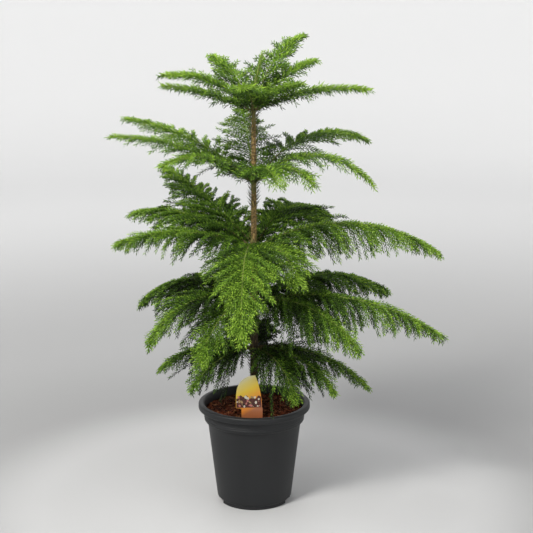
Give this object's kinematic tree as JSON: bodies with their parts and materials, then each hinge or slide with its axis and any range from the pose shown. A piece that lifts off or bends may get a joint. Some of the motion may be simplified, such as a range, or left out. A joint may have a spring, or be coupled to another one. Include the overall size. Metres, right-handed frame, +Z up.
{
  "type": "potted norfolk island pine",
  "caption": "Young Norfolk Island pine with tiered, drooping fronds on a straight trunk, standing in a round nursery pot",
  "frame": {"origin": "middle of the flat underside of the pot, on the pot's axis and the trunk's", "axes": "+Z up along the trunk; -Y is the side the plant label faces, and +X is to its right"},
  "size_m": [0.7014, 0.5786, 0.9881],
  "materials": {
    "pot_plastic": "very dark grey moulded plastic with a soft sheen",
    "potting_mix": "loose reddish brown bark and coir chips, matt",
    "label_card": null,
    "trunk_bark": "tan young bark with raised pale needle bases, matt",
    "bough_bark": "green-brown young bark, matt",
    "foliage": "soft curved needles, mid to dark green with yellow-green tips, low sheen",
    "young_foliage": "fresh yellow-green needles of the leading shoot, low sheen"
  },
  "bodies": {
    "root": {"pot": "pot_plastic", "soil": "potting_mix", "label": "label_card", "trunk": "trunk_bark", "leader": "young_foliage", "whorl_3_bough_1": "bough_bark", "whorl_3_bough_2": "bough_bark", "whorl_3_bough_3": "bough_bark", "whorl_3_bough_4": "bough_bark", "whorl_3_bough_5": "bough_bark", "whorl_3_bough_6": "bough_bark", "whorl_3_bough_7": "bough_bark", "whorl_4_bough_1": "bough_bark", "whorl_4_bough_2": "bough_bark", "whorl_4_bough_3": "bough_bark", "whorl_4_bough_4": "bough_bark", "whorl_4_bough_5": "bough_bark", "whorl_4_bough_6": "bough_bark", "whorl_4_bough_7": "bough_bark", "whorl_5_bough_1": "bough_bark", "whorl_5_bough_3": "bough_bark", "whorl_5_bough_4": "bough_bark", "whorl_5_bough_5": "bough_bark", "whorl_5_bough_6": "bough_bark", "whorl_1_frond_1": "foliage", "whorl_1_frond_2": "foliage", "whorl_1_frond_3": "foliage", "whorl_1_frond_4": "foliage", "whorl_1_frond_5": "foliage", "whorl_1_frond_6": "foliage", "whorl_1_frond_7": "foliage", "whorl_1_frond_8": "foliage", "whorl_2_frond_1": "foliage", "whorl_2_frond_2": "foliage", "whorl_2_frond_3": "foliage", "whorl_2_frond_4": "foliage", "whorl_2_frond_5": "foliage", "whorl_2_frond_6": "foliage", "whorl_2_frond_7": "foliage", "whorl_2_frond_8": "foliage", "whorl_3_frond_1": "foliage", "whorl_3_frond_2": "foliage", "whorl_3_frond_3": "foliage", "whorl_3_frond_4": "foliage", "whorl_3_frond_5": "foliage", "whorl_3_frond_6": "foliage", "whorl_3_frond_7": "foliage", "whorl_4_frond_1": "foliage", "whorl_4_frond_2": "foliage", "whorl_4_frond_3": "foliage", "whorl_4_frond_4": "foliage", "whorl_4_frond_5": "foliage", "whorl_4_frond_6": "foliage", "whorl_4_frond_7": "foliage", "whorl_5_frond_1": "foliage", "whorl_5_frond_2": "foliage", "whorl_5_frond_3": "foliage", "whorl_5_frond_4": "foliage", "whorl_5_frond_5": "foliage", "whorl_5_frond_6": "foliage"}
  },
  "joints": []
}
